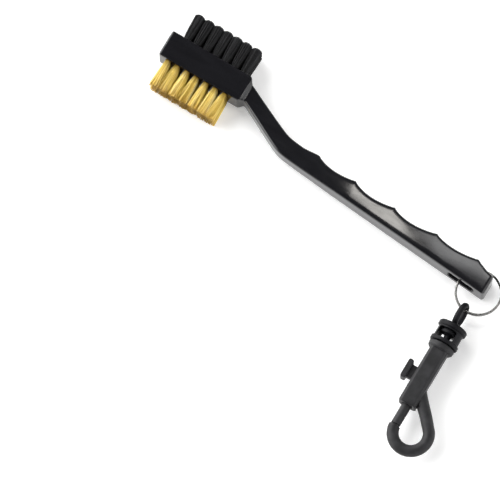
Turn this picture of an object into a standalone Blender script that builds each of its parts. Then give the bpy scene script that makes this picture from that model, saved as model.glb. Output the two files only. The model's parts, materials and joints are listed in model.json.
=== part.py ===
"""Club groove brush: a two-sided brush on a finger-grip handle, with a split ring and a swivel snap hook.

Blender 4.5, metres, +Z up. The sizes below are in millimetres, and add_mesh() turns them into metres.
The origin is the middle of the head block's lower side, on which the brush lies. +X runs along the head
towards the grip's end, +Y is the nylon and finger side, and -Y is the brass side. The snap hook lies along
-Y from the grip's end.
"""

import math

import bmesh
import bpy
from mathutils import Matrix, Vector

MM = 0.001
GAP = 0.3  # clearance between pieces that touch

# head block and tufts
HEAD_LEFT = -23.2
HEAD_HALF_WIDTH = 6.4
HEAD_LINE = (-2.1, -0.1, -0.026)  # a point on the head's middle line, and its slope
FINGER_SHOULDER = (18.0, 20.6)  # from and to along X, where the head runs into the neck
BACK_SHOULDER = (17.8, 22.0)
THICKNESS = 12.5
MID_Z = THICKNESS / 2
COLUMNS = 7
ROWS = 3
COLUMN_PITCH = 5.0
ROW_PITCH = 3.7
BRASS_FIELD_X = -3.1  # middle of the brass side's holes
NYLON_FIELD_X = -0.95
HOLE_RADIUS = 1.45
HOLE_DEPTH = 3.2
TUFT_ROOT_RADIUS = HOLE_RADIUS - GAP
TUFT_FAN = 0.65  # share of its full spread that a tuft has halfway along
BRASS_LENGTH = 13.8
BRASS_TIP = (2.32, 1.66)  # half-widths along X and Z
NYLON_LENGTH = 13.4
NYLON_TIP = (2.25, 1.66)

# neck and grip, both drawn in the XY plane
NECK_HALF_THICKNESS = 4.6
NECK_THINNING = ((19.0, 20.9, 1.0), (50.0, 85.0, -0.75), (85.0, 115.0, -0.25))  # from X, to X, share
NECK_BACK = (21.8, -5.75, -0.55)  # a point on the neck's back line, and its slope
NECK_FINGER = (21.8, 2.4, -0.495)
GRIP_BACK = (50.0, -19.3, -0.0995)
CRESTS = ((63.4, 10.1), (83.3, 9.9), (104.6, 10.05), (127.0, 11.2), (148.8, 12.2))  # X and grip height
VALLEY_DEPTHS = (1.95, 2.2, 2.3, 1.8)
VALLEY_SHAPE = (0.85, 0.8)  # exponents that lean and flatten each hollow
FIRST_RISE = (9.0, 1.1)  # length and height of the rise to the first crest
GRIP_END = 158.7
GRIP_END_HEIGHT = 9.65
SLOT = (139.7, 152.9)  # from and to along X, on the back side
SLOT_FINGER_END = 156.2  # the slot is longer on the finger side, because the ring curves through it
SLOT_HEIGHT = 5.0
SLOT_OVERRUN = 6.0  # how far its cutter runs past the grip on each side
HEAD_INSET = 0.9  # size of the chamfer round the head's end
GRIP_INSET = 1.4

# split ring
RING_CENTRE = (155.9, -29.3)
RING_RADIUS = 10.2
RING_WIRE = 1.0
RING_HEIGHT = 2.0  # two turns
RING_PIVOT = (156.1, -25.3)  # middle of the bar of plastic between the slot and the grip's end

# swivel and snap hook; s runs from the eye's tip along -Y, t along +X, and h up from the hook's axis
HOOK_X = 154.2
HOOK_Y = -36.0
HOOK_Z = 6.9
EYE_HALF_LENGTH = 5.35
EYE_HALF_HEIGHT = 3.8
EYE_WIRE_RADIUS = 1.05
EYE_BREADTH = 1.4  # half the width of the eye's wire across the eye
EYE_HINGE_S = 3.5
SWIVEL_TURN = -12.0  # degrees about the hook's axis, as the swivel lies at rest
DISC = (12.2, 14.8, 6.9)  # from s, to s, radius
CAGE_RADIUS = 6.0
CAGE_INNER_RADIUS = 4.8
CAGE_FOOT = (20.3, 22.3, 6.75)  # the flange: from s, to s, radius
CAGE_FLOOR = 21.0
CAGE_HOLE_RADIUS = 1.9
WINDOW_HALF_WIDTH = 4.2
COLLAR = (22.65, 25.5, 6.25)
COLLAR_END_RADIUS = 5.7
BODY_HALF_WIDTH = 4.25
BODY_CORNER = 1.1
BODY_END = 54.4
BORE_RADIUS = 2.55
PLUG_HEAD_RADIUS = 4.4
PLUG_END = 25.2
BOLT_RADIUS = 2.25
BOLT = (36.5, 64.6)
THUMB = (35.3, 44.6)
THUMB_STEM = (37.0, 43.3)
THUMB_T = (-9.4, -6.9)
GATE_TRAVEL = 7.5
HOOK_TUBE_RADIUS = 2.75
BOW = (64.7, 8.0, 8.05)  # centre s, centre t, radius of the middle line
HOOK_TIP_S = 65.0
SPRING = (25.7, 36.1)
SPRING_RADIUS = 1.5
SPRING_WIRE_RADIUS = 0.3
SPRING_COILS = 5

BLACK_PLASTIC = ((0.018, 0.018, 0.020), 0.32, 0.0)
HOOK_PLASTIC = ((0.030, 0.030, 0.032), 0.42, 0.0)
BRASS = ((0.78, 0.52, 0.16), 0.35, 1.0)
NYLON = ((0.012, 0.012, 0.013), 0.45, 0.0)
STEEL = ((0.60, 0.60, 0.58), 0.25, 1.0)


def material(name, look):
    """A Principled material from (base colour, roughness, metallic)."""
    colour, roughness, metallic = look
    made = bpy.data.materials.new(name)
    made.use_nodes = True
    shader = made.node_tree.nodes["Principled BSDF"]
    shader.inputs["Base Color"].default_value = (*colour, 1.0)
    shader.inputs["Roughness"].default_value = roughness
    shader.inputs["Metallic"].default_value = metallic
    made.diffuse_color = (*colour, 1.0)
    return made


def add_mesh(name, points, faces, look=None):
    """A named object from points in millimetres. Without a look, it is a cutter or another tool."""
    mesh = bpy.data.meshes.new(name)
    mesh.from_pydata([Vector(p) * MM for p in points], [], faces)
    shell = bmesh.new()
    shell.from_mesh(mesh)
    bmesh.ops.recalc_face_normals(shell, faces=shell.faces)
    shell.to_mesh(mesh)
    shell.free()
    made = bpy.data.objects.new(name, mesh)
    bpy.context.scene.collection.objects.link(made)
    if look:
        mesh.materials.append(material(name, look))
        mesh.shade_smooth()
        mesh.set_sharp_from_angle(angle=math.radians(35))
    else:
        made.hide_render = True
        made.display_type = "WIRE"
    return made


def loft(name, rings, look=None, closed=False):
    """A skin over rings of points. It is capped at both ends, or runs back to its first ring."""
    sides = len(rings[0])
    points = [p for ring in rings for p in ring]
    count = len(rings)
    faces = []
    for i in range(count if closed else count - 1):
        a, b = i * sides, (i + 1) % count * sides
        for k in range(sides):
            n = (k + 1) % sides
            faces.append((a + k, a + n, b + n, b + k))
    if not closed:
        faces.append(tuple(reversed(range(sides))))
        faces.append(tuple(range(len(points) - sides, len(points))))
    return add_mesh(name, points, faces, look)


def sweep(name, path, section, up, look=None, closed=False):
    """A skin along a path. section(i) gives the ring's (side, up) offsets at point i."""
    path = [Vector(p) for p in path]
    last = len(path) - 1
    rings = []
    for i, point in enumerate(path):
        before = path[i - 1] if i or closed else point
        after = path[(i + 1) % len(path)] if i < last or closed else point
        tangent = (after - before).normalized()
        side = tangent.cross(up).normalized()
        over = side.cross(tangent)
        rings.append([point + side * a + over * b for a, b in section(i)])
    return loft(name, rings, look, closed)


def circle(radius, sides, stretch=1.0):
    """Points of a circle as (side, up) offsets. stretch makes an ellipse of it, along up."""
    turns = [2 * math.pi * k / sides for k in range(sides)]
    return [(radius * math.cos(a), radius * stretch * math.sin(a)) for a in turns]


def cut(target, tool, operation="DIFFERENCE"):
    """Cuts the tool from the target, or joins it to the target."""
    step = target.modifiers.new(tool.name, "BOOLEAN")
    step.operation = operation
    step.solver = "EXACT"
    step.object = tool


def join(target, tool):
    cut(target, tool, "UNION")


def box(name, low, high, look=None, bevel=0.0):
    """A box between two corners, with beveled edges."""
    xs, ys, zs = zip(low, high)
    points = [(x, y, z) for x in xs for y in ys for z in zs]
    faces = [(0, 1, 3, 2), (4, 6, 7, 5), (0, 4, 5, 1), (2, 3, 7, 6), (0, 2, 6, 4), (1, 5, 7, 3)]
    made = add_mesh(name, points, faces, look)
    if bevel:
        edges = made.modifiers.new("edges", "BEVEL")
        edges.width = bevel * MM
        edges.segments = 2
    return made


def smooth_step(x, start, end):
    part = min(max((x - start) / (end - start), 0.0), 1.0)
    return part * part * (3 - 2 * part)


def soft_max(a, b, softness):
    """The larger of two values, with the corner between them rounded."""
    return (a + b + math.hypot(a - b, softness)) / 2


def line(x, at):
    start, y, slope = at
    return y + slope * (x - start)


# handle ---------------------------------------------------------------------------------------------


def grip_height(x):
    """Height of the grip over its back line: a shallow hollow for a finger between each two crests."""
    first, last = CRESTS[0], CRESTS[-1]
    if x <= first[0]:
        length, rise = FIRST_RISE
        return first[1] - rise * smooth_step(x, first[0], first[0] - length)
    if x >= last[0]:
        part = (x - last[0]) / (GRIP_END - last[0])
        return last[1] + (GRIP_END_HEIGHT - last[1]) * math.sin(math.pi / 2 * part)
    lean, flat = VALLEY_SHAPE
    for (x0, h0), (x1, h1), depth in zip(CRESTS, CRESTS[1:], VALLEY_DEPTHS):
        if x <= x1:
            part = (x - x0) / (x1 - x0)
            return h0 + (h1 - h0) * part - depth * math.sin(math.pi * part**lean) ** flat
    return last[1]


def back_y(x):
    head = line(x, HEAD_LINE) - HEAD_HALF_WIDTH
    neck = soft_max(line(x, NECK_BACK), line(x, GRIP_BACK), 1.5)
    return head + (neck - head) * smooth_step(x, *BACK_SHOULDER)


def finger_y(x):
    head = line(x, HEAD_LINE) + HEAD_HALF_WIDTH
    neck = soft_max(line(x, NECK_FINGER), line(x, GRIP_BACK) + grip_height(x), 1.2)
    return head + (neck - head) * smooth_step(x, *FINGER_SHOULDER)


def half_thickness(x):
    thinning = sum(share * smooth_step(x, start, end) for start, end, share in NECK_THINNING)
    return MID_Z - (MID_Z - NECK_HALF_THICKNESS) * thinning


def corner_radius(x):
    return 0.8 + 0.8 * smooth_step(x, 19, 26)


def slice_ring(x, inset=0.0):
    """One slice of the handle: a rectangle with rounded corners, three points to a corner."""
    radius = corner_radius(x)
    half = half_thickness(x) - inset
    low, high = back_y(x) + inset, finger_y(x) - inset
    ring = []
    for y, z, turn in ((high, half, 0), (low, half, 1), (low, -half, 2), (high, -half, 3)):
        centre_y = y - math.copysign(radius, y - (low + high) / 2)
        centre_z = z - math.copysign(radius, z)
        for k in range(3):
            angle = math.pi / 2 * (turn + k / 2)
            across, up = radius * math.cos(angle), radius * math.sin(angle)
            ring.append((x, centre_y + across, MID_Z + centre_z + up))
    return ring


def tuft_places(field_x):
    for row in range(ROWS):
        for column in range(COLUMNS):
            x = field_x + (column - (COLUMNS - 1) / 2) * COLUMN_PITCH
            z = MID_Z + (row - (ROWS - 1) / 2) * ROW_PITCH
            yield row + 1, column + 1, x, z


def tuft_hole(name, x, z, side):
    middle = line(x, HEAD_LINE)
    turns = [2 * math.pi * k / 8 for k in range(8)]
    ends = sorted((side * (HEAD_HALF_WIDTH - HOLE_DEPTH), side * (HEAD_HALF_WIDTH + 1)))
    rings = [
        [(x + HOLE_RADIUS * math.sin(a), middle + y, z + HOLE_RADIUS * math.cos(a)) for a in turns]
        for y in ends
    ]
    return loft(name, rings)


def ring_slot():
    """The slot's cutter. Its end wall leans towards the grip's end on the finger side."""
    back, finger = back_y(SLOT[1]), finger_y(SLOT_FINGER_END)
    lean = (SLOT_FINGER_END - SLOT[1]) / (finger - back)
    low, high = MID_Z - SLOT_HEIGHT / 2, MID_Z + SLOT_HEIGHT / 2
    rings = []
    for y in (back - SLOT_OVERRUN, finger + SLOT_OVERRUN):
        end = SLOT[1] + lean * (y - back)
        rings.append([(SLOT[0], y, low), (end, y, low), (end, y, high), (SLOT[0], y, high)])
    return loft("ring_slot", rings)


def make_handle():
    """The moulding: slices along X, with the tufts' holes and the ring's slot cut out."""
    stations = [HEAD_LEFT + HEAD_INSET, 17.8, 18.6, 19.2, 19.8, 20.4, 20.9, 22, 25, 29, 35, 40]
    stations += [43.5, 46, 48, 50, 53, 56.5, 60]
    for (x0, _), (x1, _) in zip(CRESTS, CRESTS[1:]):
        stations += [x0 + (x1 - x0) * part for part in (0, 0.06, 0.15, 0.3, 0.5, 0.7, 0.87, 0.95)]
    stations += [CRESTS[-1][0], 150.3, 152.5, 155.5, GRIP_END - GRIP_INSET]
    rings = [slice_ring(HEAD_LEFT, HEAD_INSET)]
    rings += [slice_ring(x) for x in stations]
    rings.append(slice_ring(GRIP_END, GRIP_INSET))
    handle = loft("handle", rings, BLACK_PLASTIC)
    for side, kind, field_x in ((-1, "brass", BRASS_FIELD_X), (1, "nylon", NYLON_FIELD_X)):
        for row, column, x, z in tuft_places(field_x):
            cut(handle, tuft_hole(f"{kind}_hole_{row}_{column}", x, z, side))
    cut(handle, ring_slot())
    return handle


# tufts ----------------------------------------------------------------------------------------------


def make_tuft(name, x, z, side, length, tip, look):
    """A tuft that fans from its hole to its tip, with a slightly domed end."""
    root, mouth = HEAD_HALF_WIDTH - HOLE_DEPTH + GAP, HEAD_HALF_WIDTH + 0.2
    end = HEAD_HALF_WIDTH + length
    steps = [(root, TUFT_ROOT_RADIUS, TUFT_ROOT_RADIUS), (mouth, TUFT_ROOT_RADIUS, TUFT_ROOT_RADIUS)]
    middle = [TUFT_ROOT_RADIUS * (1 - TUFT_FAN) + wide * TUFT_FAN for wide in tip]
    steps.append(((mouth + end) / 2, *middle))
    steps.append((end - 0.7, *tip))
    steps.append((end, tip[0] * 0.75, tip[1] * 0.75))
    head = line(x, HEAD_LINE)
    turns = [2 * math.pi * (k + 0.5) / 8 for k in range(8)]
    rings = [
        [(x + side * wide * math.sin(a), head + side * y, z + high * math.cos(a)) for a in turns]
        for y, wide, high in steps
    ]
    return loft(name, rings, look)


def make_tufts():
    for row, column, x, z in tuft_places(BRASS_FIELD_X):
        make_tuft(f"brass_tuft_{row}_{column}", x, z, -1, BRASS_LENGTH, BRASS_TIP, BRASS)
    for row, column, x, z in tuft_places(NYLON_FIELD_X):
        make_tuft(f"nylon_tuft_{row}_{column}", x, z, 1, NYLON_LENGTH, NYLON_TIP, NYLON)


# split ring -----------------------------------------------------------------------------------------


def make_split_ring():
    steps = 48
    turns = [2 * math.pi * k / steps for k in range(steps)]
    x, y = RING_CENTRE
    path = [(x + RING_RADIUS * math.cos(a), y + RING_RADIUS * math.sin(a), HOOK_Z) for a in turns]
    wide, tall = RING_WIRE / 2, RING_HEIGHT / 2
    ring = [(wide, -tall / 2), (wide, tall / 2), (wide / 2, tall), (-wide / 2, tall)]
    ring += [(-a, -b) for a, b in ring]
    return sweep("split_ring", path, lambda i: ring, Vector((0, 0, 1)), STEEL, closed=True)


# swivel and snap hook ---------------------------------------------------------------------------------


def hook_point(s, t=0.0, h=0.0):
    return (HOOK_X + t, HOOK_Y - s, HOOK_Z + h)


def turned(name, profile, look=None, sides=24):
    """A piece turned about the hook's axis from (s, radius) points."""
    turns = [2 * math.pi * k / sides for k in range(sides)]
    rings = [[hook_point(s, r * math.cos(a), r * math.sin(a)) for a in turns] for s, r in profile]
    return loft(name, rings, look)


def square_ring(s, half, radius):
    """A square with rounded corners across the hook's axis."""
    ring = []
    for turn, (t, h) in enumerate(((1, 1), (-1, 1), (-1, -1), (1, -1))):
        for k in range(3):
            angle = math.pi / 2 * (turn + k / 2)
            inner = half - radius
            across, up = radius * math.cos(angle), radius * math.sin(angle)
            ring.append(hook_point(s, t * inner + across, h * inner + up))
    return ring


def make_swivel_eye():
    """The eye, the disc and the open cage that turns on the plug's head."""
    start, end, radius = DISC
    floor = CAGE_FLOOR
    foot, rim, foot_radius = CAGE_FOOT
    outline = [(start, radius - 0.5), (start + 0.5, radius), (end - 0.3, radius), (end, CAGE_RADIUS)]
    outline += [(foot - 0.4, CAGE_RADIUS), (foot, foot_radius)]
    outline += [(rim - 0.3, foot_radius), (rim, foot_radius - 0.4)]
    swivel = turned("swivel_eye", outline, HOOK_PLASTIC, 28)
    steps = 28
    turns = [2 * math.pi * k / steps for k in range(steps)]
    middle = EYE_WIRE_RADIUS + EYE_HALF_LENGTH
    path = [
        hook_point(middle - EYE_HALF_LENGTH * math.cos(a), 0, EYE_HALF_HEIGHT * math.sin(a)) for a in turns
    ]
    ring = circle(EYE_WIRE_RADIUS, 10, EYE_BREADTH / EYE_WIRE_RADIUS)
    eye = sweep("eye_ring", path, lambda i: ring, Vector((1, 0, 0)), closed=True)
    join(swivel, eye)
    wall = 0.25  # the disc's inner face sits this far under its outer rim
    cut(swivel, turned("cage_room", [(end + wall, CAGE_INNER_RADIUS), (floor, CAGE_INNER_RADIUS)]))
    cut(swivel, turned("cage_hole", [(floor - 1, CAGE_HOLE_RADIUS), (rim + 1, CAGE_HOLE_RADIUS)]))
    low = hook_point(floor - 0.4, -WINDOW_HALF_WIDTH, -10)
    high = hook_point(end + 0.6, WINDOW_HALF_WIDTH, 10)
    window = box("cage_window", low, high)
    cut(swivel, window)
    axis = Matrix.Translation(Vector(hook_point(0)) * MM)
    turn = axis @ Matrix.Rotation(math.radians(SWIVEL_TURN), 4, "Y") @ axis.inverted()
    for piece in (swivel, eye, window):
        piece.data.transform(turn)
    return swivel


def make_end_plug():
    """The plug that closes the body's bore. Its head is held in the swivel's cage."""
    head = PLUG_HEAD_RADIUS
    neck = CAGE_HOLE_RADIUS - GAP
    shank = BORE_RADIUS - GAP
    start = DISC[1] + 0.25 + GAP
    outline = [(start, head - 0.5), (start + 0.5, head), (start + 1.6, head), (start + 2.4, neck)]
    outline += [(COLLAR[0] - 0.02, neck - 0.1), (COLLAR[0] + 0.05, shank), (PLUG_END, shank)]
    return turned("end_plug", outline, HOOK_PLASTIC, 20)


def loop_path():
    """Middle line of the hook: a straight arm from the body, a round bow, and back to the bolt."""
    arm = [(42.5, 0.0), (46.0, 2.1), (50.0, 5.5), (54.5, 9.8)]
    bow_s, bow_t, bow_radius = BOW
    turns = [math.radians(a) for a in range(135, -76, -15)]
    bow = [(bow_s + bow_radius * math.cos(a), bow_t + bow_radius * math.sin(a)) for a in turns]
    return arm + bow + [(HOOK_TIP_S + 1.0, 0.0), (HOOK_TIP_S, 0.0)]


def make_hook_body():
    """The square body with its collar, the hook's loop, the bolt's bore and the thumb slot."""
    start, end, radius = COLLAR
    rings = [square_ring(s, BODY_HALF_WIDTH, BODY_CORNER) for s in (end - 0.6, BODY_END - 0.4)]
    rings.append(square_ring(BODY_END, BODY_HALF_WIDTH - 0.4, BODY_CORNER - 0.3))
    body = loft("hook_body", rings, HOOK_PLASTIC)
    outline = [(start, radius - 0.4), (start + 0.4, radius)]
    outline += [(end - 0.6, COLLAR_END_RADIUS + 0.3), (end, COLLAR_END_RADIUS - 0.4)]
    join(body, turned("collar", outline))
    path = loop_path()
    thick = [2.9, 3.0, 2.95, 2.85]
    radii = thick + [HOOK_TUBE_RADIUS] * (len(path) - len(thick))
    points = [hook_point(s, t) for s, t in path]
    join(body, sweep("hook_loop", points, lambda i: circle(radii[i], 12), Vector((0, 0, 1))))
    cut(body, turned("bore", [(start - 1, BORE_RADIUS), (BODY_END + 1.5, BORE_RADIUS)], sides=16))
    slot_start, slot_end = THUMB_STEM[0] - GATE_TRAVEL - GAP, THUMB_STEM[1] + GAP
    low = hook_point(slot_end, -BODY_HALF_WIDTH - 1, -1.5 - GAP)
    high = hook_point(slot_start, 0, 1.5 + GAP)
    cut(body, box("thumb_slot", low, high))
    return body


def make_gate_bolt():
    """The sliding bolt with its thumb bar."""
    start, end = BOLT
    outline = [(start, BOLT_RADIUS), (end - 0.3, BOLT_RADIUS), (end, BOLT_RADIUS - 0.3)]
    bolt = turned("gate_bolt", outline, HOOK_PLASTIC, 16)
    low = hook_point(THUMB_STEM[1], THUMB_T[1] - 0.4, -1.5)
    high = hook_point(THUMB_STEM[0], -0.8, 1.5)
    join(bolt, box("thumb_stem", low, high))
    low = hook_point(THUMB[1], THUMB_T[0], -2.8)
    high = hook_point(THUMB[0], THUMB_T[1], 2.8)
    join(bolt, box("thumb_bar", low, high, bevel=0.5))
    return bolt


def make_gate_spring():
    """The compression spring between the plug and the bolt."""
    steps = SPRING_COILS * 10
    start, end = SPRING[0] + SPRING_WIRE_RADIUS, SPRING[1] - SPRING_WIRE_RADIUS
    path = []
    for i in range(steps + 1):
        angle = 2 * math.pi * SPRING_COILS * i / steps
        s = start + (end - start) * i / steps
        path.append(hook_point(s, SPRING_RADIUS * math.cos(angle), SPRING_RADIUS * math.sin(angle)))
    ring = circle(SPRING_WIRE_RADIUS, 6)
    return sweep("gate_spring", path, lambda i: ring, Vector((0, -1, 0)), STEEL)


# assembly -------------------------------------------------------------------------------------------


def pivot(name, place, parent=None):
    """An empty on a joint's axis."""
    made = bpy.data.objects.new(name, None)
    made.empty_display_size = 0.005
    bpy.context.scene.collection.objects.link(made)
    made.parent = parent
    made.location = Vector(place) * MM - (parent_place(parent) if parent else Vector())
    return made


def parent_place(empty):
    place = Vector(empty.location)
    while empty.parent:
        empty = empty.parent
        place += empty.location
    return place


def hang(piece, empty):
    """Parents a piece to its pivot and moves its origin there. The piece stays where it is."""
    piece.data.transform(Matrix.Translation(-parent_place(empty)))
    piece.parent = empty


def main():
    for old in list(bpy.data.objects):
        bpy.data.objects.remove(old)
    make_handle()
    make_tufts()
    ring_pivot = pivot("ring_pivot", (*RING_PIVOT, HOOK_Z))
    hang(make_split_ring(), ring_pivot)
    eye_pivot = pivot("eye_pivot", hook_point(EYE_HINGE_S), ring_pivot)
    hang(make_swivel_eye(), eye_pivot)
    spin_pivot = pivot("spin_pivot", hook_point(COLLAR[0]), eye_pivot)
    for piece in (make_end_plug(), make_hook_body(), make_gate_spring()):
        hang(piece, spin_pivot)
    gate_pivot = pivot("gate_pivot", hook_point(BOLT[0]), spin_pivot)
    hang(make_gate_bolt(), gate_pivot)


main()
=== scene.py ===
"""Looks of the club groove brush: fine meshes, procedural materials, light and camera around the CAD frame.

The frame is in metres. The sizes below are in millimetres, and mesh_piece() turns them into metres.
"""

import json
import math
import random
from typing import NamedTuple

import bmesh
import bpy
from mathutils import Matrix, Vector


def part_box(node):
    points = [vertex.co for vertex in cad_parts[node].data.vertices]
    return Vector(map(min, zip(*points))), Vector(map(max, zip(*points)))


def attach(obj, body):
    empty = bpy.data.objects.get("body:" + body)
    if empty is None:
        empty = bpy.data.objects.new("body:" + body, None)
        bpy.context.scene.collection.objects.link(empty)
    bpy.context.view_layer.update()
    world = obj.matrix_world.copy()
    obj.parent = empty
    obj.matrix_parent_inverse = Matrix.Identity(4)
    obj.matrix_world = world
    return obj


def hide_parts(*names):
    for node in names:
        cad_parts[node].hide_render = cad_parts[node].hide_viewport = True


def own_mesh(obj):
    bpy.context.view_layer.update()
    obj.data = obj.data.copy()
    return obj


MM = 0.001
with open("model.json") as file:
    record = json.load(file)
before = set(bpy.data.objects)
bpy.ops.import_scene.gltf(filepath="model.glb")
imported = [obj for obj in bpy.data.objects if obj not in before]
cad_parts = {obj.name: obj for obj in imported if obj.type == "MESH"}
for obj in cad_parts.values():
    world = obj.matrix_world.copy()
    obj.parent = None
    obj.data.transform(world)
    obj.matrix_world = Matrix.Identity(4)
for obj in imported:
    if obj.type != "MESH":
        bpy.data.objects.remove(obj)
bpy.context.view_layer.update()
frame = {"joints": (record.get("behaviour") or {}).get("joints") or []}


def node_box(node):
    """Lowest and highest corner of a CAD node, in millimetres."""
    low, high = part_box(node)
    return Vector(low) / MM, Vector(high) / MM


# sizes, in millimetres ------------------------------------------------------------------------------

handle_low, handle_high = node_box("handle")
HEAD_LEFT, GRIP_END = handle_low.x, handle_high.x
THICKNESS = handle_high.z - handle_low.z
MID_Z = (handle_high.z + handle_low.z) / 2
HEAD_HALF_WIDTH = 6.4
HEAD_LINE = (-2.1, -0.1, -0.026)  # a point on the head's middle line, and its slope
FINGER_SHOULDER = (18.0, 20.6)  # from and to along X, where the head runs into the neck
BACK_SHOULDER = (17.8, 22.0)
COLUMNS, ROWS = 7, 3
HOLE_RADIUS = 1.45
HOLE_DEPTH = 3.2

NECK_HALF_THICKNESS = 4.6
NECK_THINNING = ((19.0, 20.9, 1.0), (50.0, 85.0, -0.75), (85.0, 115.0, -0.25))  # from X, to X, share
NECK_BACK = (21.8, -5.75, -0.55)  # a point on the neck's back line, and its slope
NECK_FINGER = (21.8, 2.4, -0.495)
GRIP_BACK = (50.0, -19.3, -0.0995)
BEND_SOFTNESS = (1.5, 1.2)  # rounding of the bend from neck to grip, on the back and on the finger side
CRESTS = ((63.4, 10.1), (83.3, 9.9), (104.6, 10.05), (127.0, 11.2), (148.8, 12.2))  # X and grip height
VALLEY_DEPTHS = (1.95, 2.2, 2.3, 1.8)
VALLEY_SHAPE = (0.85, 0.8)  # exponents that lean and flatten each hollow
FIRST_RISE = (9.0, 1.1)  # length and height of the rise to the first crest
HEAD_INSET = 0.9  # size of the rounding of the head's end
GRIP_INSET = 1.4  # and of the grip's end
HEAD_TO_GRIP = (19.0, 30.0)  # from and to along X, where the slices change from the head's to the grip's
EDGE_RADIUS = (0.8, 0.5)  # of the head's long edges, and how much larger the grip's are
CROWN = (0.04, 0.04)  # drop of the head's broad faces towards their edges, and how much more on the grip
GRIP_END_HEIGHT = 9.65
SLOT = (139.7, 152.9)  # from and to along X, on the back side
SLOT_FINGER_END = 156.2  # the slot is longer on the finger side
SLOT_HALF_HEIGHT = 2.5

ring_low, ring_high = node_box("split_ring")
RING_CENTRE = (ring_low + ring_high) / 2
RING_WIRE = 1.0
RING_RADIUS = (ring_high.x - ring_low.x - RING_WIRE) / 2
RING_TURN_HEIGHT = (ring_high.z - ring_low.z) / 2

swivel_low, swivel_high = node_box("swivel_eye")
HOOK_X = (swivel_low.x + swivel_high.x) / 2
HOOK_Y = swivel_high.y
HOOK_Z = (swivel_low.z + swivel_high.z) / 2
EYE_HALF_LENGTH = 5.35
EYE_HALF_HEIGHT = 3.8
EYE_WIRE_RADIUS = 1.05
EYE_BREADTH = 1.4  # half the width of the eye's wire across the eye
SWIVEL_TURN = -12.0  # degrees about the hook's axis
DISC = (12.2, 14.8, (swivel_high.x - swivel_low.x) / 2)
CAGE_RADIUS = 6.0
CAGE_INNER_RADIUS = 4.8
CAGE_FOOT = (20.3, 22.3, 6.75)  # the flange: from s, to s, radius
CAGE_FLOOR = 21.0
CAGE_HOLE_RADIUS = 1.9
WINDOW_HALF_WIDTH = 4.2
COLLAR = (22.65, 25.5, 6.25)
COLLAR_END_RADIUS = 5.7
BODY_HALF_WIDTH = 4.25
BODY_CHAMFER = 1.2
BODY_END = 54.4
BORE_RADIUS = 2.55
PLUG_HEAD_RADIUS = 4.4
PLUG_END = 25.2
BOLT_RADIUS = 2.25
BOLT = (36.5, 64.6)
THUMB = (35.3, 44.6)
THUMB_STEM = (37.0, 43.3)
THUMB_T = (-9.4, -6.9)
THUMB_HALF_HEIGHT = 2.8
STEM_HALF_HEIGHT = 1.5
PLAY = 0.3  # between sliding and turning pieces
GATE_TRAVEL = 1000 * next(j for j in frame["joints"] if j["name"] == "gate_slide")["range_m"][1]
HOOK_TUBE_RADIUS = 2.75
BOW = (64.7, 8.0, 8.05)  # centre s, centre t, radius of the middle line
HOOK_TIP_S = 65.0
SPRING_COILS = 5
SPRING_WIRE_RADIUS = 0.3
SPRING_RADIUS = 1.5
spring_low, spring_high = node_box("gate_spring")


# mesh tools -----------------------------------------------------------------------------------------


def mesh_piece(name, points, faces):
    """A smooth-shaded object from points in millimetres, with its faces pointing out."""
    mesh = bpy.data.meshes.new(name)
    mesh.from_pydata([Vector(p) * MM for p in points], [], faces)
    shell = bmesh.new()
    shell.from_mesh(mesh)
    bmesh.ops.recalc_face_normals(shell, faces=shell.faces)
    shell.to_mesh(mesh)
    shell.free()
    mesh.shade_smooth()
    made = bpy.data.objects.new(name, mesh)
    bpy.context.scene.collection.objects.link(made)
    return made


def skin(first, sides, count, closed=False):
    """Faces over count rings of points, numbered from first: capped at both ends, or running back round."""
    faces = []
    for i in range(count if closed else count - 1):
        a, b = first + i * sides, first + (i + 1) % count * sides
        for k in range(sides):
            n = (k + 1) % sides
            faces.append((a + k, a + n, b + n, b + k))
    if not closed:
        last = first + (count - 1) * sides
        faces.append(tuple(reversed(range(first, first + sides))))
        faces.append(tuple(range(last, last + sides)))
    return faces


def loft(name, rings, closed=False):
    """A piece with a skin over rings of points."""
    points = [p for ring in rings for p in ring]
    return mesh_piece(name, points, skin(0, len(rings[0]), len(rings), closed))


def sweep(name, path, section, up, closed=False):
    """A skin along a path. section(i) gives the ring's (side, up) offsets at point i."""
    path = [Vector(p) for p in path]
    last = len(path) - 1
    rings = []
    for i, point in enumerate(path):
        before = path[i - 1] if i or closed else point
        after = path[(i + 1) % len(path)] if i < last or closed else point
        tangent = (after - before).normalized()
        side = tangent.cross(up).normalized()
        over = side.cross(tangent)
        rings.append([point + side * a + over * b for a, b in section(i)])
    return loft(name, rings, closed)


def turns(count):
    """Angles that divide a full turn into count parts."""
    return [2 * math.pi * k / count for k in range(count)]


def circle(radius, sides):
    return [(radius * math.cos(a), radius * math.sin(a)) for a in turns(sides)]


def rounded_box(half_a, half_b, radius, corner=5):
    """Points of a rectangle with rounded corners. corner is the number of points to a corner."""
    ring = []
    for turn, (a, b) in enumerate(((1, 1), (-1, 1), (-1, -1), (1, -1))):
        for k in range(corner):
            angle = math.pi / 2 * (turn + k / (corner - 1))
            ring.append((
                a * (half_a - radius) + radius * math.cos(angle),
                b * (half_b - radius) + radius * math.sin(angle),
            ))
    return ring


def with_flats(ring, corner, count):
    """Splits the straight sides of a rounded box into count parts. corner is its points to a corner."""
    filled = []
    for k, (a, b) in enumerate(ring):
        filled.append((a, b))
        if k % corner == corner - 1:
            next_a, next_b = ring[(k + 1) % len(ring)]
            for n in range(1, count):
                filled.append((a + (next_a - a) * n / count, b + (next_b - b) * n / count))
    return filled


def bake_modifiers(piece):
    """Replaces the piece's mesh with what its modifiers make of it."""
    graph = bpy.context.evaluated_depsgraph_get()
    graph.update()
    done = bpy.data.meshes.new_from_object(piece.evaluated_get(graph))
    piece.modifiers.clear()
    piece.data = done


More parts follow.
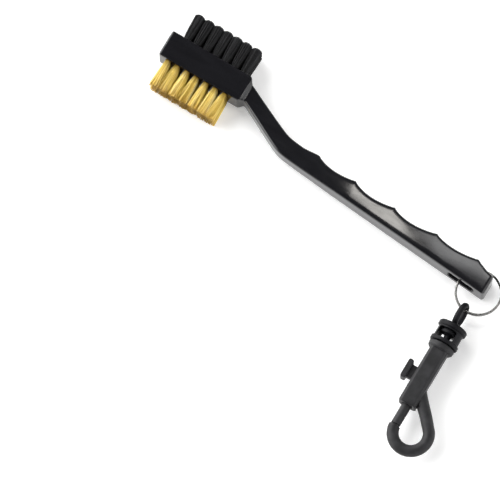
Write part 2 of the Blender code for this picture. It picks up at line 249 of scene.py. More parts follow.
def combine(target, tool, operation="DIFFERENCE"):
    """Cuts the tool from the target, or joins it, and removes the tool."""
    step = target.modifiers.new("combine", "BOOLEAN")
    step.operation = operation
    step.solver = "EXACT"
    step.object = tool
    bake_modifiers(target)
    bpy.data.objects.remove(tool)


def mould(piece, voxel, passes):
    """Rounds every edge and inner corner, as a mould does, on an even mesh."""
    grid = piece.modifiers.new("grid", "REMESH")
    grid.mode = "VOXEL"
    grid.voxel_size = voxel * MM
    soften = piece.modifiers.new("soften", "SMOOTH")
    soften.factor = 0.5
    soften.iterations = passes
    bake_modifiers(piece)
    piece.data.shade_smooth()


def smooth_step(x, start, end):
    """Rises from 0 to 1 as x goes from start to end."""
    part = min(max((x - start) / (end - start), 0.0), 1.0)
    return part * part * (3 - 2 * part)


def soft_max(a, b, softness):
    """The larger of two values, with the corner between them rounded."""
    return (a + b + math.hypot(a - b, softness)) / 2


def line(x, at):
    """Y at x of the line through a point with a slope."""
    start, y, slope = at
    return y + slope * (x - start)


# materials ------------------------------------------------------------------------------------------


def set_range(node, *numbers):
    """Sets what a Map Range node maps from and to."""
    for key, number in zip(("From Min", "From Max", "To Min", "To Max"), numbers):
        node.inputs[key].default_value = number


NOISE_RANGE = (0.35, 0.65)  # where nearly all of a noise's values lie
MIX_SHARE, MIX_A, MIX_B, MIX_RESULT = 0, 6, 7, 2  # sockets of a Mix node that mixes colours


class Look:
    """A node material built step by step around one Principled shader."""

    def __init__(self, name):
        self.material = bpy.data.materials.new(name)
        self.material.use_nodes = True
        self.tree = self.material.node_tree
        self.shader = self.tree.nodes["Principled BSDF"]
        self.place = self.node("ShaderNodeTexCoord").outputs["Object"]

    def node(self, kind, **settings):
        made = self.tree.nodes.new(kind)
        for key, value in settings.items():
            setattr(made, key, value)
        return made

    def link(self, a, b):
        self.tree.links.new(a, b)

    def set(self, **values):
        for key, value in values.items():
            self.shader.inputs[key.replace("_", " ")].default_value = value

    def noise(self, scale, detail, stretch=None, distortion=0.0):
        """Noise in object space. stretch scales each axis, which draws the noise out along the low ones."""
        made = self.node("ShaderNodeTexNoise")
        made.inputs["Scale"].default_value = scale
        made.inputs["Detail"].default_value = detail
        made.inputs["Distortion"].default_value = distortion
        place = self.place
        if stretch:
            mapping = self.node("ShaderNodeMapping")
            mapping.inputs["Scale"].default_value = stretch
            self.link(place, mapping.inputs["Vector"])
            place = mapping.outputs["Vector"]
        self.link(place, made.inputs["Vector"])
        return made.outputs["Fac"]

    def attribute(self, name):
        made = self.node("ShaderNodeAttribute")
        made.attribute_name = name
        return made.outputs["Fac"]

    def ramp(self, value, *stops):
        """Colours at positions, each stop (position, (r, g, b))."""
        made = self.node("ShaderNodeValToRGB")
        elements = made.color_ramp.elements
        while len(elements) < len(stops):
            elements.new(0.5)
        for element, (position, colour) in zip(elements, stops):
            element.position = position
            element.color = (*colour, 1.0)
        self.link(value, made.inputs["Fac"])
        return made.outputs["Color"]

    def span(self, value, low, high):
        """Maps noise to values between low and high."""
        made = self.node("ShaderNodeMapRange")
        set_range(made, *NOISE_RANGE, low, high)
        self.link(value, made.inputs["Value"])
        return made.outputs["Result"]

    def mix(self, share, a, b, kind="MIX"):
        """Mixes a and b. Each value is a number, a colour or another node's output."""
        made = self.node("ShaderNodeMix", data_type="RGBA", blend_type=kind)
        for index, value in ((MIX_SHARE, share), (MIX_A, a), (MIX_B, b)):
            socket = made.inputs[index]
            if isinstance(value, (int, float)):
                socket.default_value = value
            elif isinstance(value, tuple):
                socket.default_value = (*value, 1.0)
            else:
                self.link(value, socket)
        return made.outputs[MIX_RESULT]

    def colour(self, value):
        self.link(value, self.shader.inputs["Base Color"])

    def roughness(self, value):
        self.link(value, self.shader.inputs["Roughness"])

    def bump(self, height, depth, strength):
        """Bumps of that depth in millimetres."""
        made = self.node("ShaderNodeBump")
        made.inputs["Strength"].default_value = strength
        made.inputs["Distance"].default_value = depth * MM
        self.link(height, made.inputs["Height"])
        self.link(made.outputs["Normal"], self.shader.inputs["Normal"])


def gloss_plastic():
    """Glossy black plastic: faint flow marks along the grip, fine grain, light handling scuffs."""
    look = Look("gloss_black_plastic")
    flow = look.noise(60, 4, stretch=(1, 5, 5), distortion=0.6)
    look.colour(look.ramp(flow, (0.3, (0.0042, 0.0042, 0.0055)), (0.7, (0.0070, 0.0070, 0.0088))))
    scuffs = look.noise(900, 5, stretch=(0.25, 1, 1))
    look.roughness(look.span(look.mix(0.5, flow, scuffs), 0.10, 0.17))
    grain = look.noise(2600, 3)
    look.bump(look.mix(0.6, scuffs, grain), 0.004, 0.5)
    look.set(IOR=1.5)
    return look.material


def satin_plastic(name, dark, pale, sheen):
    """Satin black plastic with a fine eroded grain and paler rubbed patches."""
    look = Look(name)
    patches = look.noise(220, 5)
    look.colour(look.ramp(patches, (0.35, dark), (0.7, pale)))
    grain = look.noise(2400, 4)
    look.roughness(look.span(patches, 0.40, 0.50))
    look.bump(grain, 0.02, 0.7)
    look.set(IOR=1.5, Specular_IOR_Level=sheen)
    return look.material


def brass_wire():
    """Drawn brass wire: each wire has its own tone, with painted shade darkening the roots and the cut
    tips.
    """
    look = Look("brass_wire")
    tone = look.ramp(
        look.attribute("strand"),
        (0.0, (0.60, 0.44, 0.09)),
        (0.35, (0.82, 0.65, 0.18)),
        (0.75, (0.93, 0.77, 0.28)),
        (1.0, (0.98, 0.88, 0.48)),
    )
    # painted shade along each wire: dark at the roots beside the head, slightly dimmer at the cut tips
    place = look.ramp(
        look.attribute("along"),
        (0.0, (0.30, 0.22, 0.09)),
        (0.25, (0.98, 0.95, 0.86)),
        (0.7, (1.0, 0.97, 0.90)),
        (1.0, (0.86, 0.76, 0.64)),
    )
    tarnish = look.noise(700, 3, stretch=(1, 0.2, 1))
    worn = look.mix(look.span(tarnish, 0.0, 0.28), tone, (0.52, 0.37, 0.12))
    look.colour(look.mix(1.0, worn, place, "MULTIPLY"))
    look.roughness(look.span(look.noise(1500, 2, stretch=(1, 0.1, 1)), 0.28, 0.42))
    look.set(Metallic=1.0)
    look.bump(look.noise(5000, 2, stretch=(1, 0.05, 1)), 0.01, 0.5)
    return look.material


def nylon_filament():
    """Black nylon filaments, with a soft sheen, painted shade at the roots and slightly greyer cut tips."""
    look = Look("nylon_filament")
    strand, along = look.attribute("strand"), look.attribute("along")
    tone = look.ramp(strand, (0.0, (0.006, 0.006, 0.007)), (1.0, (0.022, 0.022, 0.024)))
    # painted shade at the roots, where the filaments leave the head; the brighter very end is the greyer
    # cut tips
    place = look.ramp(along, (0.0, (0.5, 0.5, 0.5)), (0.96, (1, 1, 1)), (1.0, (2.2, 2.2, 2.2)))
    look.colour(look.mix(1.0, tone, place, "MULTIPLY"))
    look.roughness(look.span(look.noise(1500, 2, stretch=(1, 0.1, 1)), 0.30, 0.46))
    look.bump(look.noise(4000, 2, stretch=(1, 0.08, 1)), 0.008, 0.4)
    look.set(IOR=1.53, Specular_IOR_Level=0.16)
    return look.material


def plated_steel():
    """Nickel-plated wire: bright, with fine bumps and a few dull spots."""
    look = Look("plated_steel")
    spots = look.noise(900, 5)
    look.colour(look.ramp(spots, (0.35, (0.13, 0.13, 0.128)), (0.65, (0.24, 0.238, 0.23))))
    look.roughness(look.span(look.noise(2500, 3), 0.16, 0.32))
    look.bump(look.noise(4200, 2), 0.006, 0.5)
    look.set(Metallic=1.0)
    return look.material


def spring_wire():
    """Plain spring wire, greyer and duller than the plated ring."""
    look = Look("spring_wire")
    spots = look.noise(1200, 4)
    look.colour(look.ramp(spots, (0.3, (0.30, 0.30, 0.30)), (0.7, (0.50, 0.50, 0.49))))
    look.roughness(look.span(spots, 0.28, 0.42))
    look.set(Metallic=1.0)
    return look.material


def finish_piece(piece, material, body, slot, *nodes):
    """Gives a piece its material and body, and hides the CAD nodes that it stands for."""
    piece.data.materials.clear()
    piece.data.materials.append(material)
    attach(piece, body)
    if nodes:
        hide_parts(*nodes)


# handle ---------------------------------------------------------------------------------------------


def grip_height(x):
    """Height of the grip over its back line, with a finger hollow between each two crests."""
    first, last = CRESTS[0], CRESTS[-1]
    if x <= first[0]:
        length, rise = FIRST_RISE
        return first[1] - rise * smooth_step(x, first[0], first[0] - length)
    if x >= last[0]:
        part = (x - last[0]) / (GRIP_END - last[0])
        return last[1] + (GRIP_END_HEIGHT - last[1]) * math.sin(math.pi / 2 * part)
    lean, flat = VALLEY_SHAPE
    for (x0, h0), (x1, h1), depth in zip(CRESTS, CRESTS[1:], VALLEY_DEPTHS):
        if x <= x1:
            part = (x - x0) / (x1 - x0)
            return h0 + (h1 - h0) * part - depth * math.sin(math.pi * part**lean) ** flat
    return last[1]


def back_y(x):
    """Y of the handle's brass side."""
    head = line(x, HEAD_LINE) - HEAD_HALF_WIDTH
    neck = soft_max(line(x, NECK_BACK), line(x, GRIP_BACK), BEND_SOFTNESS[0])
    return head + (neck - head) * smooth_step(x, *BACK_SHOULDER)


def finger_y(x):
    """Y of the handle's nylon side, which carries the finger hollows."""
    head = line(x, HEAD_LINE) + HEAD_HALF_WIDTH
    neck = soft_max(line(x, NECK_FINGER), line(x, GRIP_BACK) + grip_height(x), BEND_SOFTNESS[1])
    return head + (neck - head) * smooth_step(x, *FINGER_SHOULDER)


def half_thickness(x):
    """Half the handle's height along Z."""
    thinning = sum(share * smooth_step(x, start, end) for start, end, share in NECK_THINNING)
    return THICKNESS / 2 - (THICKNESS / 2 - NECK_HALF_THICKNESS) * thinning


def handle_slice(x, inset=0.0):
    """One slice of the handle: a rounded rectangle whose broad faces are very slightly crowned."""
    corner_points, flat_parts = 7, 6
    grip = smooth_step(x, *HEAD_TO_GRIP)
    low, high = back_y(x) + inset, finger_y(x) - inset
    half = half_thickness(x) - inset
    mid, reach = (low + high) / 2, (high - low) / 2
    radius = EDGE_RADIUS[0] + EDGE_RADIUS[1] * grip
    crown = CROWN[0] + CROWN[1] * grip
    points = []
    for y, z in with_flats(rounded_box(reach, half, radius, corner_points), corner_points, flat_parts):
        bulge = 1 - crown / half * (y / reach) ** 2
        points.append((x, mid + y, MID_Z + z * bulge))
    return points


def ring_slot_cutter():
    """A through slot along Y with rounded mouths. Its end wall leans towards the grip's end."""
    lip, corner = 0.6, 1.1  # radius of the mouths' rounding, and of the slot's corners
    clear = 4.0  # how far the cutter runs past the faces
    corner_points, flat_parts, lip_steps = 5, 12, 4
    rings = []
    for face, sign, slot_end in ((back_y, 1, SLOT[1]), (finger_y, -1, SLOT_FINGER_END)):
        middle, half = (SLOT[0] + slot_end) / 2, (slot_end - SLOT[0]) / 2

        def outline(grow):
            box = rounded_box(half + grow, SLOT_HALF_HEIGHT + grow, corner + grow, corner_points)
            return with_flats(box, corner_points, flat_parts)

        side = [[(middle + a, face(middle) - sign * clear, MID_Z + b) for a, b in outline(lip)]]
        for k in range(lip_steps + 1):
            share = math.sin(math.pi / 2 * k / lip_steps)
            depth, ring = lip * share, outline(lip * (1 - share))
            side.append([(middle + a, face(middle + a) + sign * depth, MID_Z + b) for a, b in ring])
        rings += side if sign == 1 else side[::-1]
    return loft("ring_slot", rings)


def tuft_hole_cutters():
    """All the blind holes, each with a small countersink at its mouth, as one mesh."""
    sink_depth, sink_width, clear, sides = 0.2, 0.15, 0.5, 20
    steps = (
        (HEAD_HALF_WIDTH - HOLE_DEPTH, HOLE_RADIUS),
        (HEAD_HALF_WIDTH - sink_depth, HOLE_RADIUS),
        (HEAD_HALF_WIDTH, HOLE_RADIUS + sink_width),
        (HEAD_HALF_WIDTH + clear, HOLE_RADIUS + sink_width),
    )
    points, faces = [], []
    for x, z, side in tuft_places():
        faces += skin(len(points), sides, len(steps))
        for y, radius in steps:
            across = line(x, HEAD_LINE) + side * y
            points += [(x + radius * math.cos(a), across, z + radius * math.sin(a)) for a in turns(sides)]
    return mesh_piece("tuft_holes", points, faces)


def tuft_places():
    """X, Z and side of every tuft, from the middle of its CAD node."""
    for kind in (BRASS, NYLON):
        for row in range(1, ROWS + 1):
            for column in range(1, COLUMNS + 1):
                low, high = node_box(f"{kind.node}_{row}_{column}")
                yield (low.x + high.x) / 2, (low.z + high.z) / 2, kind.side


def make_handle(material):
    """Head, neck and grip in one moulding, with the slot and the tuft holes cut out of it."""
    end_steps, hollow_steps, tail_steps = 5, 28, 16
    stretch_steps = (20, 40, 64)  # along the head, its shoulders and the neck
    margin = 0.5  # of the shoulders' slices, before and past them
    rounding = [math.pi / 2 * k / end_steps for k in range(end_steps + 1)]
    first, last, last_crest = HEAD_LEFT + HEAD_INSET, GRIP_END - GRIP_INSET, CRESTS[-1][0]
    rings = [
        handle_slice(first - HEAD_INSET * math.sin(a), HEAD_INSET * (1 - math.cos(a)))
        for a in reversed(rounding)
    ]
    marks = (first, FINGER_SHOULDER[0] - margin, BACK_SHOULDER[1] + margin, CRESTS[0][0])
    for start, end, count in zip(marks, marks[1:], stretch_steps):
        rings += [handle_slice(start + (end - start) * k / count) for k in range(1, count + 1)]
    for (x0, _), (x1, _) in zip(CRESTS, CRESTS[1:]):
        for k in range(1, hollow_steps + 1):
            rings.append(handle_slice(x0 + (x1 - x0) * (1 - math.cos(math.pi * k / hollow_steps)) / 2))
    rings += [
        handle_slice(last_crest + (last - last_crest) * k / tail_steps)
        for k in range(1, tail_steps + 1)
    ]
    rings += [
        handle_slice(last + GRIP_INSET * math.sin(a), GRIP_INSET * (1 - math.cos(a)))
        for a in rounding[1:]
    ]
    handle = loft("handle_moulding", rings)
    combine(handle, ring_slot_cutter())
    combine(handle, tuft_hole_cutters())
    handle.data.shade_smooth()
    handle.data.set_sharp_from_angle(angle=math.radians(40))
    finish_piece(handle, material, "brush", "handle_plastic", "handle")


# tufts ----------------------------------------------------------------------------------------------


class Bristles(NamedTuple):
    """The tufts of one side of the head. Lengths are in millimetres."""

    node: str  # start of the names of the CAD nodes
    piece: str  # start of the names of the pieces
    slot: str
    side: int  # -1 or 1, the way the tufts point along Y
    strands: int
    wire: float  # diameter of a strand
    flare: float  # how late a tuft spreads on its way to its tips
    top_flare: float  # the same for the top row
    bow: float  # typical sway of a strand between its ends
    crop: float  # how much shorter the outer strands are cut
    loose: float  # typical distance of a tip from its place
    uneven: float  # typical shortening of a strand
    end_lean: float  # how far the tips of the end columns lean inwards


BRASS = Bristles(
    "brass_tuft", "brass_wires", "brass_wire", -1, strands=80, wire=0.26, flare=0.34, top_flare=0.62,
    bow=0.25, crop=0.3, loose=0.3, uneven=0.3, end_lean=0.7,
)
NYLON = Bristles(
    "nylon_tuft", "nylon_strands", "nylon_filament", 1, strands=96, wire=0.34, flare=0.22, top_flare=0.36,
    bow=0.05, crop=1.1, loose=0.05, uneven=0.12, end_lean=0.0,
)
TUFT_REACH = (2.5, 1.85)  # half-size of a tuft at its tips, along X and Z
TUFT_STRAY = (0.12, 0.08)  # how far a tuft's tips may stand off along X and Z
SQUARENESS = 0.35  # of a tuft's outline at its tips
ROOT_CLEAR = 0.35  # between the strands and the hole's bottom
TUFT_PLAY = 0.1  # between the strands and the hole's wall


def disc_points(count, dice):
    """Evenly spread points in a unit disc, each slightly off its place."""
    golden, stray = math.pi * (3 - math.sqrt(5)), 0.06
    for k in range(count):
        radius = math.sqrt((k + 0.5) / count)
        off_a, off_b = dice.uniform(-stray, stray), dice.uniform(-stray, stray)
        yield radius * math.cos(k * golden) + off_a, radius * math.sin(k * golden) + off_b


def squared(a, b, share):
    """Pushes a point of the unit disc towards the unit square, by share."""
    radius = math.hypot(a, b)
    if radius < 1e-6:
        return a, b
    reach = max(abs(a), abs(b))
    grow = 1 + share * (radius / reach - 1)
    return a * grow, b * grow


def make_tuft(kind, material, row, column, dice):
    """A tuft of separate strands, from near the hole's bottom to the cut tips."""
    node = f"{kind.node}_{row}_{column}"
    low, high = node_box(node)
    x, z = (low.x + high.x) / 2, (low.z + high.z) / 2
    root, mouth = HEAD_HALF_WIDTH - HOLE_DEPTH + ROOT_CLEAR, HEAD_HALF_WIDTH
    head = line(x, HEAD_LINE)
    end = kind.side * (high.y if kind.side > 0 else low.y) - kind.side * head
    packed = HOLE_RADIUS - TUFT_PLAY - kind.wire / 2
    flare = kind.top_flare if row == ROWS else kind.flare
    sides, segments = 5, 7
    points, faces, strand_tones, alongs = [], [], [], []
    inward = (column == 1) - (column == COLUMNS)
    lean_x, lean_z = (dice.uniform(-stray, stray) for stray in TUFT_STRAY)
    lean_x += kind.end_lean * inward
    for a, b in disc_points(kind.strands, dice):
        tip_a, tip_b = squared(a, b, SQUARENESS)
        tip_x = TUFT_REACH[0] * tip_a + lean_x + dice.gauss(0, kind.loose)
        tip_z = TUFT_REACH[1] * tip_b + lean_z + dice.gauss(0, kind.loose)
        tip_z = min(max(tip_z, kind.wire - z), THICKNESS - kind.wire - z)
        length = end - kind.crop * (tip_a * tip_a + tip_b * tip_b) - abs(dice.gauss(0, kind.uneven))
        sway_x, sway_z = dice.gauss(0, kind.bow), dice.gauss(0, kind.bow)
        tone = dice.random()
        faces += skin(len(points), sides, segments + 1)
        for i in range(segments + 1):
            y = root + (length - root) * i / segments
            out = max(y - mouth, 0) / (length - mouth)
            fan = out**flare
            wave = math.sin(math.pi * out) * out
            cx = x + packed * a * (1 - fan) + tip_x * fan + sway_x * wave
            cz = z + packed * b * (1 - fan) + tip_z * fan + sway_z * wave
            across = head + kind.side * y
            points += [(cx + da, across, cz + db) for da, db in circle(kind.wire / 2, sides)]
            strand_tones += [tone] * sides
            alongs += [out] * sides
    tuft = mesh_piece(f"{kind.piece}_{row}_{column}", points, faces)
    tuft.data.set_sharp_from_angle(angle=math.radians(75))
    for key, values in (("strand", strand_tones), ("along", alongs)):
        tuft.data.attributes.new(key, "FLOAT", "POINT").data.foreach_set("value", values)
    finish_piece(tuft, material, "brush", kind.slot, node)


def make_tufts(brass, nylon):
    """Both sides' tufts, place by place."""
    dice = random.Random(7)
    for row in range(1, ROWS + 1):
        for column in range(1, COLUMNS + 1):
            make_tuft(BRASS, brass, row, column, dice)
            make_tuft(NYLON, nylon, row, column, dice)


def make_anchors(material):
    """The flat wire staple that pins each tuft in its hole."""
    half_x, inner_half_z, outer_half_z, depth = 1.25, 0.2, 0.16, 1.6
    start = HEAD_HALF_WIDTH - HOLE_DEPTH + 0.05
    points, faces = [], []
    for x, z, side in tuft_places():
        faces += skin(len(points), 4, 2)
        for y, half_z in ((start, inner_half_z), (start + depth, outer_half_z)):
            across = line(x, HEAD_LINE) + side * y
            points += [
                (x + a * half_x, across, z + b * half_z)
                for a, b in ((-1, -1), (1, -1), (1, 1), (-1, 1))
            ]
    anchors = mesh_piece("tuft_anchors", points, faces)
    anchors.data.set_sharp_from_angle(angle=math.radians(40))
    finish_piece(anchors, material, "brush", "brass_wire")


# split ring -----------------------------------------------------------------------------------------


def make_split_ring(material):
    """Two flat turns of wire, pressed together, with a short crossing between the cut ends."""
    start_angle, cross = math.radians(62), math.radians(16)  # where the wire starts, and half its crossing
    gap, edge = 0.04, 0.3  # half the gap between the turns, and the radius of the wire's edges
    steps = 180
    climb = RING_TURN_HEIGHT / 2
    path = []
    for i in range(steps + 1):
        angle = cross + (4 * math.pi - 2 * cross) * i / steps
        height = -climb + 2 * climb * smooth_step(angle, 2 * math.pi - cross, 2 * math.pi + cross)
        place = angle + start_angle
        path.append((
            RING_CENTRE.x + RING_RADIUS * math.cos(place),
            RING_CENTRE.y + RING_RADIUS * math.sin(place),
            RING_CENTRE.z + height,
        ))
    section = rounded_box(RING_WIRE / 2, RING_TURN_HEIGHT / 2 - gap, edge, corner=4)
    ring = sweep("split_ring_coil", path, lambda i: section, Vector((0, 0, 1)))
    ring.data.set_sharp_from_angle(angle=math.radians(50))
    finish_piece(ring, material, "ring", "ring_steel", "split_ring")


# swivel and snap hook -------------------------------------------------------------------------------


def hook_point(s, t=0.0, h=0.0):
    """s runs from the eye's tip along the hook, t along +X and h up, all from the hook's axis."""
    return (HOOK_X + t, HOOK_Y - s, HOOK_Z + h)


def turned(name, profile, sides=64):
    """A piece turned about the hook's axis from (s, radius) points."""
    return loft(name, [[hook_point(s, t, h) for t, h in circle(r, sides)] for s, r in profile])


def hook_prism(name, profile):
    """A square bar with chamfered edges along the hook's axis. profile holds (s, half-width, chamfer)."""
    return loft(name, [
        [hook_point(s, a, b) for a, b in rounded_box(half, half, chamfer, corner=2)]
        for s, half, chamfer in profile
    ])


def hook_box(name, s, t, h, radius=0.05):
    """A box in the hook's own directions, with its long edges rounded."""
    middle_t, half_t = (t[0] + t[1]) / 2, (t[1] - t[0]) / 2
    middle_s, half_s = (s[0] + s[1]) / 2, (s[1] - s[0]) / 2
    shape = rounded_box(half_t, half_s, radius)
    return loft(name, [[hook_point(middle_s + b, middle_t + a, z) for a, b in shape] for z in h])


def make_swivel(material):
    """Eye, disc and cage of the swivel in one moulding."""
    start, end, radius = DISC
    foot, rim, foot_radius = CAGE_FOOT
    disc_edge, rim_edge, foot_edge = 0.5, 0.3, 0.4  # bevels
    swivel = turned("swivel_moulding", [
        (start, radius - disc_edge),
        (start + disc_edge, radius),
        (end - rim_edge, radius),
        (end, CAGE_RADIUS),
        (foot - foot_edge, CAGE_RADIUS),
        (foot, foot_radius),
        (rim - rim_edge, foot_radius),
        (rim, foot_radius - foot_edge),
    ])
    middle = EYE_WIRE_RADIUS + EYE_HALF_LENGTH
    path = [
        hook_point(middle - EYE_HALF_LENGTH * math.cos(a), 0, EYE_HALF_HEIGHT * math.sin(a))
        for a in turns(64)
    ]
    section = [(EYE_WIRE_RADIUS * a, EYE_BREADTH * b) for a, b in circle(1, 20)]
    combine(swivel, sweep("eye", path, lambda i: section, Vector((1, 0, 0)), closed=True), "UNION")
    boss = [(start - 1.6, 1.7), (start - 0.9, 2.2), (start + 0.5, 3.0)]  # thickens the eye's root
    combine(swivel, turned("boss", boss, 32), "UNION")
    room, clear = (end + 0.25, CAGE_FLOOR), 1.0
    combine(swivel, turned("cage_room", [(s, CAGE_INNER_RADIUS) for s in room]))
    hole = (CAGE_FLOOR - clear, rim + clear)
    combine(swivel, turned("cage_hole", [(s, CAGE_HOLE_RADIUS) for s in hole]))
    window, through = (end + 0.6, CAGE_FLOOR - 0.4), (-10, 10)
    span = (-WINDOW_HALF_WIDTH, WINDOW_HALF_WIDTH)
    combine(swivel, hook_box("window", window, span, through, radius=0.8))
    mould(swivel, voxel=0.16, passes=5)
    axis = Matrix.Translation(Vector(hook_point(0)) * MM)
    swivel.data.transform(axis @ Matrix.Rotation(math.radians(SWIVEL_TURN), 4, "Y") @ axis.inverted())
    finish_piece(swivel, material, "swivel", "hook_plastic", "swivel_eye")


def make_plug(material):
    """The swivel's stud: a wide head in the cage, and a shank in the body's bore."""
    head, neck, shank = PLUG_HEAD_RADIUS, CAGE_HOLE_RADIUS - PLAY, BORE_RADIUS - PLAY
    disc_gap = 0.55
    start, collar = DISC[1] + disc_gap, COLLAR[0]
    dome = [(start, head - 0.6), (start + 0.18, head - 0.18), (start + 0.6, head), (start + 1.5, head)]
    underside = [(start + 1.8, head - 0.15), (start + 2.1, neck + 0.5), (start + 2.6, neck)]
    stem = [(collar - 0.02, neck - 0.1), (collar + 0.05, shank), (PLUG_END, shank)]
    plug = turned("plug_moulding", dome + underside + stem, 56)
    plug.data.set_sharp_from_angle(angle=math.radians(40))
    finish_piece(plug, material, "hook", "hook_plastic", "end_plug")


def loop_path():
    """(s, t, radius) along the hook: an arm out of the body, a round bow, and back to the bolt."""
    path = [(42.5, 0.0, 2.9), (46.0, 2.1, 3.0), (50.0, 5.5, 2.95), (54.5, 9.8, 2.85)]
    bow_s, bow_t, bow_radius = BOW
    for degrees in range(135, -76, -15):
        angle = math.radians(degrees)
        s, t = bow_s + bow_radius * math.cos(angle), bow_t + bow_radius * math.sin(angle)
        path.append((s, t, HOOK_TUBE_RADIUS))
    return path + [(s, 0.0, HOOK_TUBE_RADIUS) for s in (HOOK_TIP_S + 1.0, HOOK_TIP_S)]


def spline(points, steps):
    """A smooth curve through the points (Catmull-Rom), with that many steps between each two."""
    padded = [points[0], *points, points[-1]]
    curve = []
    for p0, p1, p2, p3 in zip(padded, padded[1:], padded[2:], padded[3:]):
        for k in range(steps):
            u = k / steps
            curve.append(tuple(
                0.5 * (
                    2 * b + (c - a) * u
                    + (2 * a - 5 * b + 4 * c - d) * u * u
                    + (3 * b - a - 3 * c + d) * u**3
                )
                for a, b, c, d in zip(p0, p1, p2, p3)
            ))
    return [*curve, points[-1]]


def make_hook(material):
    """Body with collar, loop, bore and thumb slot in one moulding."""
    start, end, radius = COLLAR
    half = BODY_HALF_WIDTH
    edge, lap, clear = 0.4, 0.6, 1.0  # bevels, overlap of joined shapes, and run of cutters past a face
    body = hook_prism("hook_moulding", [
        (end - lap, half, BODY_CHAMFER),
        (BODY_END - edge, half, BODY_CHAMFER),
        (BODY_END, half - edge, BODY_CHAMFER - edge / 2),
    ])
    collar = [
        (start, radius - edge),
        (start + edge, radius),
        (end - lap, COLLAR_END_RADIUS + 0.3),
        (end, COLLAR_END_RADIUS - edge),
    ]
    combine(body, turned("collar", collar), "UNION")
    curve = spline(loop_path(), 4)
    points = [hook_point(s, t) for s, t, _ in curve]
    loop = sweep("hook_loop", points, lambda i: circle(curve[i][2], 32), Vector((0, 0, 1)))
    combine(body, loop, "UNION")
    combine(body, turned("bore", [(s, BORE_RADIUS) for s in (start - clear, BODY_END + 1.5)], 40))
    slot_span = (THUMB_STEM[0] - GATE_TRAVEL - PLAY, THUMB_STEM[1] + PLAY)
    slot_height = (-STEM_HALF_HEIGHT - PLAY, STEM_HALF_HEIGHT + PLAY)
    combine(body, hook_box("thumb_slot", slot_span, (-half - clear, 0), slot_height))
    mould(body, voxel=0.17, passes=3)
    finish_piece(body, material, "hook", "hook_plastic", "hook_body")


def make_bolt(material):
    """Sliding bolt with its stem and thumb bar."""
    start, end = BOLT
    edge, lap = 0.3, 0.4  # bevel, and overlap of joined shapes
    outline = [(start, BOLT_RADIUS), (end - edge, BOLT_RADIUS), (end, BOLT_RADIUS - edge)]
    bolt = turned("bolt_moulding", outline, 40)
    stem_height = (-STEM_HALF_HEIGHT, STEM_HALF_HEIGHT)
    combine(bolt, hook_box("stem", THUMB_STEM, (THUMB_T[1] - lap, -0.8), stem_height), "UNION")
    bar_height = (-THUMB_HALF_HEIGHT, THUMB_HALF_HEIGHT)
    combine(bolt, hook_box("bar", THUMB, THUMB_T, bar_height, radius=0.9), "UNION")
    mould(bolt, voxel=0.14, passes=4)
    finish_piece(bolt, material, "gate", "hook_plastic", "gate_bolt")


def make_spring(material):
    """Compression spring between the plug and the bolt."""
    start = HOOK_Y - spring_high.y + SPRING_WIRE_RADIUS
    end = HOOK_Y - spring_low.y - SPRING_WIRE_RADIUS
    steps = SPRING_COILS * 28
    path = []
    for i in range(steps + 1):
        angle = 2 * math.pi * SPRING_COILS * i / steps
        t, h = SPRING_RADIUS * math.cos(angle), SPRING_RADIUS * math.sin(angle)
        path.append(hook_point(start + (end - start) * i / steps, t, h))
    section = circle(SPRING_WIRE_RADIUS, 10)
    spring = sweep("spring_coil", path, lambda i: section, Vector((0, -1, 0)))
    spring.data.set_sharp_from_angle(angle=math.radians(50))
    finish_piece(spring, material, "hook", "spring_steel", "gate_spring")
    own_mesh(spring)


# stage ----------------------------------------------------------------------------------------------


def make_floor():
    """A plain pale floor, faintly lit from below like a light table."""
    half, drop = 4.0, 0.0001  # half its width, and how far it lies below the brush
    mesh = bpy.data.meshes.new("floor")
    corners = [(-half, -half, 0), (half, -half, 0), (half, half, 0), (-half, half, 0)]
    mesh.from_pydata(corners, [], [(0, 1, 2, 3)])
    floor = bpy.data.objects.new("floor", mesh)
    bpy.context.scene.collection.objects.link(floor)
    floor.location.z = -drop
    look = Look("floor_paper")
    look.colour(look.ramp(look.noise(3, 2), (0.3, (0.93, 0.93, 0.93)), (0.7, (0.95, 0.95, 0.95))))
    look.set(Roughness=0.9, Emission_Color=(1, 1, 1, 1), Emission_Strength=0.25)
    mesh.materials.append(look.material)


def soft_light(name, place, target, size, power, colour):
    """A small area lamp at a place, aimed at a target."""
    lamp = bpy.data.lights.new(name, "AREA")
    lamp.shape = "RECTANGLE"
    lamp.size, lamp.size_y = size
    lamp.energy = power
    lamp.color = colour
    made = bpy.data.objects.new(name, lamp)
    bpy.context.scene.collection.objects.link(made)
    made.location = place
    made.rotation_euler = (Vector(target) - made.location).to_track_quat("-Z", "Y").to_euler()
    made.visible_camera = False


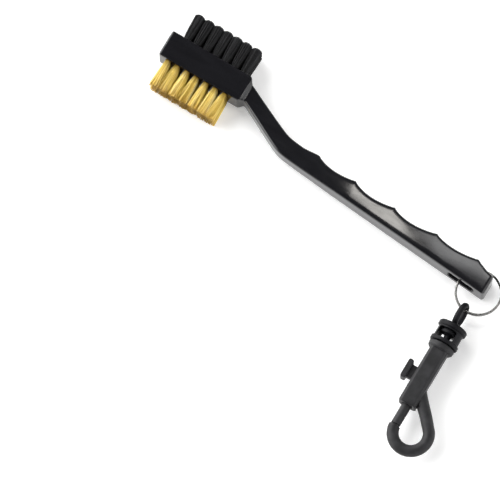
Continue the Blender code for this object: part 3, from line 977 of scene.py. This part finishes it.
def make_light():
    """A bright wall beyond the head, a dim one beyond the grip, and two small lamps over the grip."""
    soft_light(
        "grip_lamp", place=(0.0695, 0.036, 0.212), target=(0.0995, -0.02, 0.012),
        size=(0.030, 0.040), power=0.048, colour=(1, 0.97, 0.92),
    )
    soft_light(
        "grip_end_lamp", place=(0.124, 0.052, 0.212), target=(0.152, -0.01, 0.012),
        size=(0.060, 0.040), power=0.038, colour=(1, 1, 1),
    )
    bright, dim, dark = 4.6, 1.8, 0.06  # strengths of the two walls, and of the rest of the room
    wall_start, wall_full = 0.42, 0.62  # share of X in a direction, where a wall begins and is at its full
    world = bpy.data.worlds.new("studio")
    world.use_nodes = True
    tree = world.node_tree
    place = tree.nodes.new("ShaderNodeTexCoord")
    split = tree.nodes.new("ShaderNodeSeparateXYZ")
    tree.links.new(place.outputs["Generated"], split.inputs["Vector"])
    both = tree.nodes.new("ShaderNodeMath")
    for socket, side, strength in zip(both.inputs, (-1, 1), (bright, dim)):
        wall = tree.nodes.new("ShaderNodeMapRange")
        wall.interpolation_type = "SMOOTHSTEP"
        set_range(wall, side * wall_start, side * wall_full, dark, strength)
        tree.links.new(split.outputs["X"], wall.inputs["Value"])
        tree.links.new(wall.outputs["Result"], socket)
    background = tree.nodes["Background"]
    tree.links.new(both.outputs[0], background.inputs["Strength"])
    background.inputs["Color"].default_value = (1, 1, 1, 1)
    bpy.context.scene.world = world
    bpy.context.scene.view_settings.view_transform = "Standard"


def make_camera():
    """The camera stands high on the brass side, and looks down at the brush."""
    azimuth, elevation = math.radians(30.28), math.radians(73.5)
    target, distance = Vector((0.0587, -0.0648, 0.0125)), 3.388
    back = Vector((
        math.sin(azimuth) * math.cos(elevation),
        -math.cos(azimuth) * math.cos(elevation),
        math.sin(elevation),
    ))
    lens = bpy.data.cameras.new("camera")
    lens.lens = 547.2
    lens.sensor_width = 36
    made = bpy.data.objects.new("camera", lens)
    bpy.context.scene.collection.objects.link(made)
    made.location = target + back * distance
    made.rotation_euler = back.to_track_quat("Z", "Y").to_euler()
    bpy.context.scene.camera = made


def main():
    """Builds every visible piece, then the stage."""
    black = gloss_plastic()
    satin = satin_plastic("satin_black_plastic", (0.019, 0.019, 0.020), (0.031, 0.031, 0.033), 0.18)
    # painted shade: the same satin plastic, darker and with less sheen, for the swivel and its stud
    painted_shade_satin = satin_plastic("painted_shade_satin_plastic", (0.005, 0.005, 0.006), (0.010, 0.010, 0.012), 0.12)
    brass, nylon = brass_wire(), nylon_filament()
    make_handle(black)
    make_tufts(brass, nylon)
    make_anchors(brass)
    make_split_ring(plated_steel())
    make_swivel(painted_shade_satin)
    make_plug(painted_shade_satin)
    make_hook(satin)
    make_bolt(satin)
    make_spring(spring_wire())
    make_floor()
    make_light()
    make_camera()


main()
